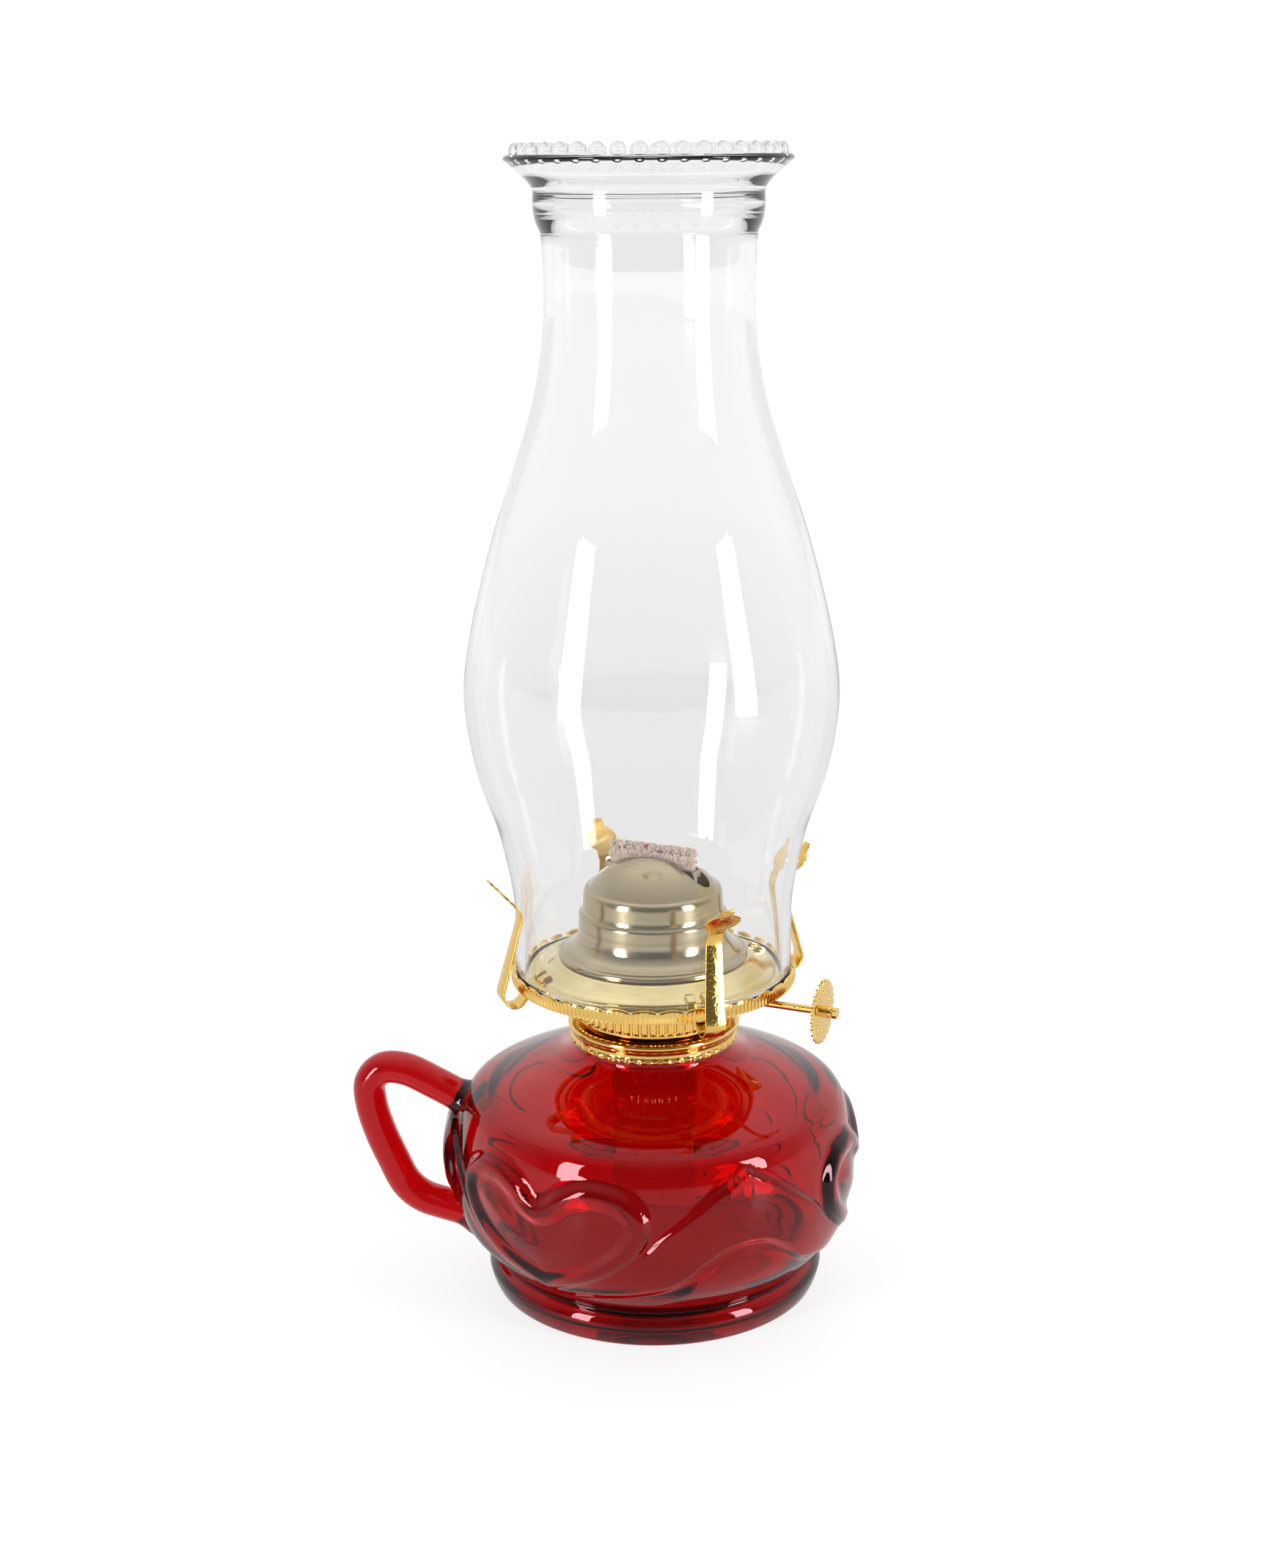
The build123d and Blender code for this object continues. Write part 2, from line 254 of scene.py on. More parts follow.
def handledSurface():
    # cloudy gloss from handling, and a fine unevenness of the metal
    numbers = {"Scale": 60, "Smooth": 0.1, "Dull": 0.2}
    group, given, out = makeGroup("handledSurface", numbers, ["Roughness", "Height"])
    cloud = noiseNode(group, given.outputs["Vector"], given.outputs["Scale"], 4, 0.6)
    gloss = rangeNode(group, cloud, 0.3, 0.7, given.outputs["Smooth"], given.outputs["Dull"])
    group.links.new(gloss, out.inputs["Roughness"])
    finer = mathNode(group, "MULTIPLY", given.outputs["Scale"], 8)
    group.links.new(noiseNode(group, given.outputs["Vector"], finer, 3), out.inputs["Height"])
    return group


def latheLines():
    # rings left by spinning: a noise of radius plus height alone
    group, given, out = makeGroup("latheLines", {"Fineness": 4000}, ["Height", "Mask"])
    apart = group.nodes.new("ShaderNodeSeparateXYZ")
    group.links.new(given.outputs["Vector"], apart.inputs[0])
    square = mathNode(group, "ADD", mathNode(group, "MULTIPLY", apart.outputs["X"], apart.outputs["X"]),
                      mathNode(group, "MULTIPLY", apart.outputs["Y"], apart.outputs["Y"]))
    radius = mathNode(group, "POWER", square, 0.5)
    along = mathNode(group, "ADD", radius, apart.outputs["Z"])
    lines = group.nodes.new("ShaderNodeTexNoise")
    lines.noise_dimensions = "1D"
    lines.inputs["Detail"].default_value = 2
    group.links.new(along, lines.inputs["W"])
    group.links.new(given.outputs["Fineness"], lines.inputs["Scale"])
    group.links.new(lines.outputs["Fac"], out.inputs["Height"])
    group.links.new(rangeNode(group, lines.outputs["Fac"], 0.35, 0.65, 0, 1), out.inputs["Mask"])
    return group


def glassRipple():
    # slow waves of pressed and drawn glass, with a touch of finer pull marks
    group, given, out = makeGroup("glassRipple", {"Scale": 40}, ["Height", "Mask"])
    slow = noiseNode(group, given.outputs["Vector"], given.outputs["Scale"], 1)
    finer = mathNode(group, "MULTIPLY", given.outputs["Scale"], 4)
    fine = mathNode(group, "MULTIPLY", noiseNode(group, given.outputs["Vector"], finer, 2), 0.25)
    group.links.new(mathNode(group, "ADD", slow, fine), out.inputs["Height"])
    group.links.new(rangeNode(group, slow, 0.3, 0.7, 0, 1), out.inputs["Mask"])
    return group


handled, lathed, rippled = handledSurface(), latheLines(), glassRipple()


def startMaterial(name):
    material = bpy.data.materials.new(name)
    material.use_nodes = True
    tree = material.node_tree
    place = tree.nodes.new("ShaderNodeTexCoord").outputs["Object"]
    return material, tree, tree.nodes["Principled BSDF"], place


def useGroup(tree, group, place, **values):
    node = tree.nodes.new("ShaderNodeGroup")
    node.node_tree = group
    tree.links.new(place, node.inputs["Vector"])
    for label, value in values.items():
        node.inputs[label].default_value = value
    return node


def addBump(tree, shader, height, distance, strength=1.0):
    bump = tree.nodes.new("ShaderNodeBump")
    bump.inputs["Strength"].default_value = strength
    bump.inputs["Distance"].default_value = distance
    tree.links.new(height, bump.inputs["Height"])
    tree.links.new(bump.outputs["Normal"], shader.inputs["Normal"])
    return bump


def mixColour(tree, mask, first, second):
    node = tree.nodes.new("ShaderNodeMix")
    node.data_type = "RGBA"
    node.inputs["A"].default_value = (*first, 1)
    node.inputs["B"].default_value = (*second, 1)
    tree.links.new(mask, node.inputs["Factor"])
    return node.outputs["Result"]


def brassFinish(name, look):
    material, tree, shader, place = startMaterial(name)
    shader.inputs["Metallic"].default_value = 1
    smooth, dull = look["gloss"]
    surface = useGroup(tree, handled, place, Scale=look["cloud"], Smooth=smooth, Dull=dull)
    tree.links.new(surface.outputs["Roughness"], shader.inputs["Roughness"])
    height = surface.outputs["Height"]
    mask = noiseNode(tree, place, look["cloud"] * 0.6, 3)
    if look["lathe"]:
        turned = useGroup(tree, lathed, place, Fineness=look["lathe"])
        height = mathNode(tree, "ADD", turned.outputs["Height"], mathNode(tree, "MULTIPLY", height, 0.3))
        mask = turned.outputs["Mask"]
    tree.links.new(mixColour(tree, mask, look["colour"], look["tarnish"]), shader.inputs["Base Color"])
    addBump(tree, shader, height, look["bump"] * mm)
    return material


brassLooks = {
    "goldBrass": {"colour": (0.90, 0.62, 0.20), "tarnish": (0.82, 0.52, 0.14), "gloss": (0.07, 0.15),
                  "cloud": 90, "lathe": 0, "bump": 0.02},
    "stripBrass": {"colour": (0.90, 0.62, 0.18), "tarnish": (0.78, 0.48, 0.11), "gloss": (0.05, 0.14),
                   "cloud": 160, "lathe": 0, "bump": 0.09},
    "dishBrass": {"colour": (0.80, 0.67, 0.35), "tarnish": (0.73, 0.59, 0.29), "gloss": (0.12, 0.20),
                  "cloud": 70, "lathe": 900, "bump": 0.002},
    "satinBrass": {"colour": (0.49, 0.42, 0.27), "tarnish": (0.42, 0.35, 0.22), "gloss": (0.15, 0.21),
                   "cloud": 80, "lathe": 900, "bump": 0.001},
    "plainBrass": {"colour": (0.70, 0.55, 0.28), "tarnish": (0.58, 0.43, 0.20), "gloss": (0.28, 0.45),
                   "cloud": 120, "lathe": 0, "bump": 0.02}}
brass = {name: brassFinish(name, look) for name, look in brassLooks.items()}


def glassFinish(name, look):
    material, tree, shader, place = startMaterial(name)
    shader.inputs["Base Color"].default_value = (*look["colour"], 1)
    shader.inputs["Transmission Weight"].default_value = 1
    shader.inputs["IOR"].default_value = look["ior"]
    shader.inputs["Specular IOR Level"].default_value = look["gleam"]
    shader.inputs["Specular Tint"].default_value = (*look["gleamTint"], 1)
    surface = useGroup(tree, rippled, place, Scale=look["ripple"])
    gloss = rangeNode(tree, surface.outputs["Mask"], 0, 1, look["gloss"][0], look["gloss"][1])
    tree.links.new(gloss, shader.inputs["Roughness"])
    addBump(tree, shader, surface.outputs["Height"], look["bump"] * mm)
    depth = tree.nodes.new("ShaderNodeVolumeAbsorption")
    depth.inputs["Color"].default_value = (*look["tint"], 1)
    depth.inputs["Density"].default_value = look["density"]
    tree.links.new(depth.outputs[0], tree.nodes["Material Output"].inputs["Volume"])
    return material


glassLooks = {
    "rubyGlass": {"colour": (0.93, 0.07, 0.09), "ior": 1.50, "ripple": 45, "gloss": (0.0, 0.02), "bump": 0.03,
                  "tint": (0.88, 0.20, 0.26), "density": 480, "gleam": 0.32, "gleamTint": (1.0, 0.58, 0.63)},
    "clearGlass": {"colour": (1.0, 1.0, 1.0), "ior": 1.46, "ripple": 28, "gloss": (0.0, 0.01), "bump": 0.03,
                   "tint": (0.50, 0.50, 0.56), "density": 14, "gleam": 0.5, "gleamTint": (1.0, 1.0, 1.0)}}
glass = {name: glassFinish(name, look) for name, look in glassLooks.items()}


def plasterFinish():
    material, tree, shader, place = startMaterial("collarPlaster")
    grain = noiseNode(tree, place, 900, 4)
    colour = mixColour(tree, grain, (0.84, 0.81, 0.74), (0.70, 0.66, 0.58))
    tree.links.new(colour, shader.inputs["Base Color"])
    shader.inputs["Roughness"].default_value = 0.85
    addBump(tree, shader, grain, 0.1 * mm)
    return material


def wickFinish(name, light, dark, threads):
    # plain weave: warp threads run up the ribbon and weft threads cross it
    material, tree, shader, place = startMaterial(name)
    turnBack = tree.nodes.new("ShaderNodeMapping")
    turnBack.inputs["Rotation"].default_value = (0, 0, -atan2(raiserAxis.y, raiserAxis.x))
    tree.links.new(place, turnBack.inputs["Vector"])
    apart = tree.nodes.new("ShaderNodeSeparateXYZ")
    tree.links.new(turnBack.outputs[0], apart.inputs[0])
    warp = mathNode(tree, "SINE", mathNode(tree, "MULTIPLY", apart.outputs["X"], threads), 0)
    weft = mathNode(tree, "SINE", mathNode(tree, "MULTIPLY", apart.outputs["Z"], threads * 0.7), 0)
    weave = rangeNode(tree, mathNode(tree, "MULTIPLY", warp, weft), -1, 1, 0, 1)
    lint = noiseNode(tree, place, 1500, 4)
    mask = mathNode(tree, "MULTIPLY", mathNode(tree, "ADD", weave, lint), 0.5)
    tree.links.new(mixColour(tree, mask, dark, light), shader.inputs["Base Color"])
    shader.inputs["Roughness"].default_value = 0.95
    shader.inputs["Sheen Weight"].default_value = 0.12
    addBump(tree, shader, mask, 0.25 * mm)
    return material


plaster = plasterFinish()
cotton = wickFinish("wickCotton", (0.96, 0.82, 0.70), (0.86, 0.66, 0.55), 5200)
redThread = wickFinish("wickRedThread", (0.75, 0.08, 0.14), (0.55, 0.04, 0.08), 5200)
print("finishes made")


# ruby font, one glass with its ring handle; outlines are (radius, height) in mm
font = {
    "foot": [(0, 2.4), (37.0, 2.4), (40.5, 0.0), (45.3, 0.0), (46.6, 3.0), (47.3, 6.0), (46.4, 8.2),
             (44.8, 9.6), (45.6, 10.4)],
    "body": [(45.6, 10.4), (46.3, 11.0), (50.0, 16.5), (53.6, 24.0), (55.6, 37.0), (54.9, 46.5), (53.3, 53.6),
             (51.4, 56.6)],
    "shoulder": [(51.4, 56.6), (48.2, 58.6), (38.0, 62.7), (28.0, 66.0), (22.6, 69.4), (21.8, 71.6)],
    "neck": [(21.8, 71.6), (21.2, 72.2), (20.4, 72.3), (20.4, 76.6), (20.0, 77.0), (17.6, 77.0), (17.2, 76.6),
             (17.2, 69.5)],
    "inside": [(17.2, 69.5), (19.5, 65.6), (27.0, 62.0), (38.0, 58.2), (45.6, 53.6), (50.2, 47.0),
               (51.8, 37.0), (50.0, 26.0), (46.4, 18.5), (40.0, 12.6), (30.0, 11.2), (0, 11.0)],
    # (height, radius) of the middle of the wall, which tells the outside from the inside
    "wallMiddle": [(10, 42), (16, 47.5), (24, 51.5), (37, 53.5), (47, 52.5), (53, 50), (58, 44), (62, 34),
                   (66, 23), (70, 19.5)],
    "steps": 432, "insideWave": 0.30, "insideWaveScale": 38}

# (across, height) in mm, on a drawing unrolled from the middle of a heart; the heart is its right half
relief = {
    "drawnRadius": 55.0, "hearts": 3, "from": 10.6, "to": 57.5,
    "heart": [(0, 43.0), (2.6, 44.2), (6.4, 47.4), (14, 50.2), (24, 48.6), (30.4, 41.2), (27.0, 31.0),
              (15.5, 22.0), (0, 15.6)],
    "heartLift": 2.1, "heartRim": 5.4, "heartSink": 0.62, "heartSwell": 0.30,
    "crease": [(10, 20.0), (27.5, 30.6), (34.4, 37.5), (41.3, 42.8), (50.0, 49.5), (58.0, 53.0)],
    "swoosh": [(0, 15.0), (10, 16.0), (25, 18.0), (37.4, 21.6), (46.0, 28.4), (52.0, 32.0), (58.0, 33.0)],
    "leafLift": 1.7, "leafEdge": 0.72, "leafRise": 0.28, "underLift": 0.9, "underGap": 2.5,
    "rays": [((57.0, 52.6), (49.4, 44.6)), ((57.6, 52.6), (57.6, 44.0))], "rayWide": 0.75, "rayLift": 0.75,
    "rootLift": 2.4, "rootUp": 34.0, "rootWide": 15.0, "rootTall": 19.0}


def mirrored(half):
    line = smoothLine(half, 8)
    return [Vector((-point.x, point.y)) for point in line[::-1]] + line[1:]


def lineDistance(line, across, up):
    nearest = np.full(across.shape, 1e9)
    for a, b in zip(line, line[1:]):
        dx, dy = b.x - a.x, b.y - a.y
        t = np.clip(((across - a.x) * dx + (up - a.y) * dy) / (dx * dx + dy * dy + 1e-9), 0, 1)
        nearest = np.minimum(nearest, np.hypot(across - a.x - t * dx, up - a.y - t * dy))
    return nearest


def isInside(line, across, up):
    odd = np.zeros(across.shape, bool)
    for a, b in zip(line, line[1:] + line[:1]):
        crosses = (a.y > up) != (b.y > up)
        at = a.x + (up - a.y) * (b.x - a.x) / (b.y - a.y + 1e-9)
        odd ^= crosses & (across < at)
    return odd


def heartHeight(across, up):
    heart = mirrored(relief["heart"])
    reach = lineDistance(heart, across, up)
    reach = np.where(isInside(heart, across, up), reach, -reach)
    rim = relief["heartRim"]
    high = easeBetween(-1.6, 1.9, reach) - relief["heartSink"] * easeBetween(rim - 2.0, rim + 1.4, reach)
    return high + relief["heartSwell"] * easeBetween(rim + 1, rim + 9, reach)


def leafHeight(across, up, swooshUp):
    creaseUp = np.interp(across, *zip(*smoothLine(relief["crease"])))
    high = easeBetween(-0.4, 1.0, creaseUp - up) * easeBetween(-1.2, 1.4, up - swooshUp)
    return high * (relief["leafEdge"] + relief["leafRise"] * easeBetween(2, 12, creaseUp - up))


def fontRelief(azimuth, up):
    # height in mm that stands off the plain body
    apart = 360 / relief["hearts"]
    toMiddle = np.abs((azimuth + apart / 2) % apart - apart / 2)
    across = toMiddle * pi / 180 * relief["drawnRadius"]
    swooshUp = np.interp(across, *zip(*smoothLine(relief["swoosh"])))
    height = np.maximum(heartHeight(across, up) * relief["heartLift"],
                        leafHeight(across, up, swooshUp) * relief["leafLift"])
    under = easeBetween(-1.0, 3.0, swooshUp - relief["underGap"] - up)
    under = under * easeBetween(28, 44, across) * easeBetween(13, 19, up)
    height = np.maximum(height, relief["underLift"] * under)
    for start, end in relief["rays"]:
        apart = lineDistance([Vector(start), Vector(end)], across, up)
        fade = np.clip((up - end[1]) / (start[1] - end[1]), 0, 1)
        height += relief["rayLift"] * np.exp(-(apart / relief["rayWide"]) ** 2) * fade
    around = ((azimuth % 360) - 180) * pi / 180 * relief["drawnRadius"]      # from the handle's root
    root = np.hypot(around / relief["rootWide"], (up - relief["rootUp"]) / relief["rootTall"])
    height += relief["rootLift"] * (1 - easeBetween(0.55, 1.2, root))
    return height


def evenLine(line, spacing):
    # the same line with points about as far apart as spacing
    even = [line[0]]
    for a, b in zip(line, line[1:]):
        count = max(1, round((b - a).length / spacing))
        even += [a.lerp(b, k / count) for k in range(1, count + 1)]
    return even


def buildFont():
    body = evenLine(smoothLine(font["body"], 8), 0.75)
    outline = softLine(font["foot"], 0.9) + body[1:] + smoothLine(font["shoulder"], 5)[1:]
    outline += softLine(font["neck"], 0.4, 3)[1:] + evenLine(smoothLine(font["inside"], 5), 2.0)[1:]
    piece = toObject(spinOutline(outline, font["steps"], closed=False), "fontGlass")
    places = readPlaces(piece)
    radius = np.hypot(places[:, 0], places[:, 1])
    up = places[:, 2] / mm
    azimuth = np.degrees(np.arctan2(places[:, 1], places[:, 0]))
    wallMiddle = np.interp(up, *zip(*font["wallMiddle"]))
    low, high = relief["from"], relief["to"]
    outside = (radius / mm > wallMiddle) & (up > low) & (up < high)
    lift = fontRelief(azimuth, up) * easeBetween(low, 14, up) * (1 - easeBetween(53.5, high, up))
    scale = np.where(outside, 1 + lift * mm / np.maximum(radius, 1e-4), 1)
    inner = (radius / mm < wallMiddle) & (up > 11.5) & (up < 66)
    waves = [noise.noise(Vector(place) * font["insideWaveScale"]) for place in places]
    wave = np.array(waves) * font["insideWave"] * mm
    wave *= easeBetween(2, 14, radius / mm)
    scale = np.where(inner, 1 + wave / np.maximum(radius, 1e-4), scale)
    places[:, :2] *= scale[:, None]
    writePlaces(piece, places)
    return piece


handle = {"route": [(-49.0, 49.0), (-54.0, 51.6), (-62.0, 56.0), (-70.0, 59.9), (-76.6, 60.2), (-80.6, 56.0),
                    (-80.4, 49.0), (-78.2, 41.0), (-75.0, 33.2), (-71.4, 25.6), (-66.6, 21.2), (-60.0, 18.9),
                    (-53.0, 17.0), (-47.5, 15.6)],
          "halfWidth": 5.3, "halfDepth": 4.5, "flare": 1.45, "flareReach": 9.0}


def buildHandle():
    line = smoothLine([(x, 0, z) for x, z in handle["route"]], 6)
    length = sum((b - a).length for a, b in zip(line, line[1:]))
    stations, gone = [], 0
    for i, place in enumerate(line):
        if i:
            gone += (place - line[i - 1]).length
        along = (line[min(i + 1, len(line) - 1)] - line[max(i - 1, 0)]).normalized()
        toEnd = min(gone, length - gone)
        grow = 1 + (handle["flare"] - 1) * float(1 - easeBetween(2, handle["flareReach"], toEnd))
        stations.append((place, along, handle["halfWidth"] * grow, handle["halfDepth"] * grow))
    return toObject(sweepOval(stations, 36), "handleTube")


fontGlass = combine(buildFont(), buildHandle(), "UNION")
finishPiece(fontGlass, [glass["rubyGlass"]], "lamp", ["font", "handle"], 60)


# chimney; its heights are measured from its seat on the gallery
chimney = {"outside": [(38.0, 0), (38.0, 10.5), (38.4, 22.5), (42.0, 40.5), (47.3, 57.0), (50.2, 76.5),
                       (48.2, 94.5), (42.4, 118.0), (36.0, 137.0), (30.4, 155.5), (27.6, 173.5),
                       (27.3, 190.5), (27.8, 197.5)],
           "band": [(27.8, 197.5), (29.2, 201.0), (29.6, 205.5), (29.6, 208.0), (31.4, 210.6), (35.4, 214.2),
                    (36.9, 215.5), (36.2, 216.5)],
           "mouth": [(36.2, 216.5), (34.0, 215.8), (30.6, 212.8), (27.6, 210.0), (26.6, 207.4), (24.7, 205.8),
                     (24.6, 203.4), (25.4, 201.4)],
           "wall": 2.4, "footRound": 0.6, "footLift": 0.7, "insideTop": 196, "steps": 256,
           "beads": 40, "beadRing": 33.4, "beadUp": 217.5, "beadRadius": 2.1, "wave": 0.40}


def buildChimney():
    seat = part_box("chimney")[0].z / mm
    outside = smoothLine(chimney["outside"], 7)
    wall, cut, lift = chimney["wall"], chimney["footRound"], chimney["footLift"]
    inside = [Vector((point.x - wall, point.y)) for point in outside if point.y < chimney["insideTop"]]
    outline = [Vector((outside[0].x, lift))] + outside[1:] + smoothLine(chimney["band"], 4)[1:]
    outline += smoothLine(chimney["mouth"], 4)[1:] + inside[:0:-1]
    outline += [Vector((inside[0].x, lift)), Vector((outside[0].x - wall + cut, 0)),
                Vector((outside[0].x - cut, 0))]
    raised = [(point.x, point.y + seat) for point in outline]
    piece = toObject(spinOutline(raised, chimney["steps"]), "chimneyGlass")
    places = readPlaces(piece)
    radius = np.hypot(places[:, 0], places[:, 1])
    up = places[:, 2] / mm - seat
    steady = easeBetween(4, 30, up) * (1 - easeBetween(190, 200, up))
    stretched = places * (34, 34, 16)      # the waves are long, as in drawn glass
    wave = np.array([noise.noise(Vector(place)) for place in stretched])
    places[:, :2] *= (1 + wave * steady * chimney["wave"] * mm / radius)[:, None]
    writePlaces(piece, places)
    return piece, seat


def buildBeads(seat):
    bm = bmesh.new()
    for i in range(chimney["beads"]):
        turn = Matrix.Rotation(tau * i / chimney["beads"], 4, "Z")
        place = Vector((chimney["beadRing"], 0, chimney["beadUp"] + seat)) * mm
        bmesh.ops.create_uvsphere(bm, u_segments=16, v_segments=10, radius=chimney["beadRadius"] * mm,
                                  matrix=turn @ Matrix.Translation(place))
    return toObject(bm, "beads")


chimneyGlass, chimneySeat = buildChimney()
combine(chimneyGlass, buildBeads(chimneySeat), "UNION")
finishPiece(chimneyGlass, [glass["clearGlass"]], "chimney", ["chimney"], 50)


# gallery: stamped dish, knurled skirt with a wavy edge, lanced tabs over the prongs
gallery = {"dish": [(38.9, 92.4), (34.9, 92.4), (34.2, 92.9), (33.2, 92.9), (29.5, 94.3), (27.0, 96.1),
                    (25.8, 96.6), (24.0, 96.6)],
           "skirt": [(39.1, 89.7), (39.3, 89.95), (39.3, 90.4), (39.3, 91.2), (39.3, 92.0), (39.3, 92.7),
                     (39.1, 93.2), (38.8, 93.3), (38.5, 93.0), (38.5, 90.0), (38.7, 89.7)],
           "thick": 0.6, "ridges": 190, "ridgeDeep": 0.30, "waves": 34, "waveHigh": 0.5,
           "vent": 28.3, "ventRadius": 0.8, "tab": (3.2, 2.3, 1.1), "tabPlace": (32, 0, 93.9), "tabTilt": 24}


def buildGallery():
    line = softLine(gallery["dish"], 0.8)
    dish = toObject(spinOutline(sheetLoop(line, gallery["thick"]), 200), "galleryDish")
    bm = bmesh.new()
    vent = Matrix.Rotation(radians(-170), 4, "Z") @ Matrix.Translation((gallery["vent"] * mm, 0, 94 * mm))
    radius = gallery["ventRadius"] * mm
    bmesh.ops.create_cone(bm, cap_ends=True, segments=24, radius1=radius, radius2=radius, depth=8 * mm,
                          matrix=vent)
    combine(dish, toObject(bm, "ventCutter"), "DIFFERENCE")
    skirt = toObject(spinOutline(gallery["skirt"], gallery["ridges"] * 6), "gallerySkirt")
    places = readPlaces(skirt)
    azimuth = np.arctan2(places[:, 1], places[:, 0])
    up = places[:, 2] / mm
    outer = np.hypot(places[:, 0], places[:, 1]) / mm > 39.2
    deep = gallery["ridgeDeep"] * (0.5 - 0.5 * np.cos(azimuth * gallery["ridges"]))
    deep = deep * (1 - easeBetween(92.0, 92.7, up))
    places[:, :2] *= np.where(outer, 1 - deep / 39.3, 1)[:, None]
    crest = 2 * np.abs(np.sin(azimuth * gallery["waves"] / 2)) ** 0.7 - 1.4
    places[:, 2] += crest * gallery["waveHigh"] * easeBetween(92.3, 93.2, up) * mm
    writePlaces(skirt, places)
    bm = bmesh.new()
    bm.from_mesh(dish.data)
    tabPlace = Matrix.Translation(Vector(gallery["tabPlace"]) * mm)
    tabTilt = Matrix.Rotation(radians(gallery["tabTilt"]), 4, "Y")
    for number in range(4):
        prongTurn = Matrix.Rotation(atan2(raiserAxis.y, raiserAxis.x) + radians(90 * number - 45), 4, "Z")
        for side in (-4, 4):
            place = prongTurn @ Matrix.Rotation(radians(side), 4, "Z") @ tabPlace
            addBox(bm, gallery["tab"], place @ tabTilt)
    first = len(bm.faces)
    bm.from_mesh(skirt.data)
    bm.faces.ensure_lookup_table()
    for face in bm.faces[first:]:
        face.material_index = 1
    for old in (dish, skirt):
        bpy.data.objects.remove(old)
    return toObject(bm, "galleryPlate")


galleryPlate = buildGallery()
galleryMarks = [face.material_index for face in galleryPlate.data.polygons]
finishPiece(galleryPlate, [brass["dishBrass"], brass["goldBrass"]], "burner", ["gallery"])
galleryPlate.data.polygons.foreach_set("material_index", galleryMarks)


# flame deflector
dome = {"wall": [(26.2, 96.65), (26.3, 97.5), (25.7, 98.2), (24.7, 98.3), (24.0, 98.9), (22.4, 100.0),
                 (21.0, 102.0), (20.6, 104.0), (20.45, 108.9), (19.7, 109.6), (19.4, 110.6),
                 (19.15, 114.6), (18.7, 115.9), (17.6, 116.3)],
        "thick": 0.6, "fullness": 2.3, "slot": (33.0, 7.0), "steps": 240,
        "rings": 56, "dimple": (-96, 11.6), "dimpleReach": 0.7, "dimpleDeep": 0.75}


def buildDome():
    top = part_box("deflector")[1].z / mm
    line = softLine(dome["wall"], 0.7)
    edge = line[-1]
    for i in range(1, dome["rings"] + 1):
        radius = edge.x * cos(pi / 2 * i / dome["rings"]) if i < dome["rings"] else 0.0
        line.append(Vector((radius, edge.y + (top - edge.y) * (1 - (radius / edge.x) ** dome["fullness"]))))
    piece = toObject(spinOutline(sheetLoop(line, dome["thick"]), dome["steps"]), "flameDome")
    azimuth, out = dome["dimple"]
    dimple = Vector((cos(radians(azimuth)) * out, sin(radians(azimuth)) * out)) * mm
    places = readPlaces(piece)
    apart = np.hypot(places[:, 0] - dimple.x, places[:, 1] - dimple.y) / mm
    onTop = places[:, 2] / mm > 112
    places[:, 2] -= np.exp(-(apart / dome["dimpleReach"]) ** 2) * onTop * dome["dimpleDeep"] * mm
    writePlaces(piece, places)
    long, wide = dome["slot"]
    bm = bmesh.new()
    ring = bmesh.ops.create_circle(bm, cap_ends=True, segments=32, radius=wide / 2 * mm)["verts"]
    for vert in ring:
        vert.co.x += (long - wide) / 2 * mm * (1 if vert.co.x > 0 else -1)
    lifted = vertsOf(bmesh.ops.extrude_face_region(bm, geom=list(bm.faces)))
    bmesh.ops.translate(bm, verts=lifted, vec=(0, 0, 20 * mm))
    bmesh.ops.transform(bm, matrix=burnerTurn @ Matrix.Translation((0, 0, 112 * mm)), verts=bm.verts)
    bmesh.ops.recalc_face_normals(bm, faces=bm.faces)
    combine(piece, toObject(bm, "slotCutter"), "DIFFERENCE")
    return piece


flameDome = buildDome()
finishPiece(flameDome, [brass["satinBrass"]], "burner", ["deflector"])


# fluted cup and collar
cup = {"wall": [(21.5, 79.4), (21.5, 85.4), (21.3, 86.2), (21.5, 88.8), (21.9, 90.6), (23.2, 93.2),
                (24.4, 95.2), (24.4, 95.9)],
       "thick": 0.6, "ribs": 56, "ribFoot": 79.5, "ribTop": 84.9, "ribHigh": 0.95, "shaftHole": 1.6}


def onShaft(place):
    # turns +Z along the raiser's shaft
    return Matrix.Translation(place) @ burnerTurn @ Matrix.Rotation(pi / 2, 4, "Y")


def buildCup():
    line = evenLine(softLine(cup["wall"], 0.6), 0.45)
    piece = toObject(spinOutline(sheetLoop(line, cup["thick"]), cup["ribs"] * 10), "flutedCup")
    places = readPlaces(piece)
    azimuth = np.arctan2(places[:, 1], places[:, 0])
    up = places[:, 2] / mm
    across = np.abs(((azimuth * cup["ribs"] / tau) % 1) - 0.5) * 2      # 0 in the middle of a rib
    middle, half = (cup["ribFoot"] + cup["ribTop"]) / 2, (cup["ribTop"] - cup["ribFoot"]) / 2
    endRound = np.clip((np.abs(up - middle) - half + 0.9) / 0.9, 0, 1)
    high = np.sqrt(np.clip(1 - (across / 0.78) ** 2 - endRound ** 2, 0, 1)) * cup["ribHigh"]
    outer = np.hypot(places[:, 0], places[:, 1]) / mm > 21.2
    places[:, :2] *= np.where(outer & (up < 86), 1 + high / 21.5, 1)[:, None]
    writePlaces(piece, places)
    bm = bmesh.new()
    hole = onShaft(raiserPoint + raiserAxis * 20 * mm)
    radius = cup["shaftHole"] * mm
    bmesh.ops.create_cone(bm, cap_ends=True, segments=24, radius1=radius, radius2=radius, depth=8 * mm,
                          matrix=hole)
    return combine(piece, toObject(bm, "holeCutter"), "DIFFERENCE")


flutedCup = buildCup()
finishPiece(flutedCup, [brass["goldBrass"]], "burner", ["burner_cup"])

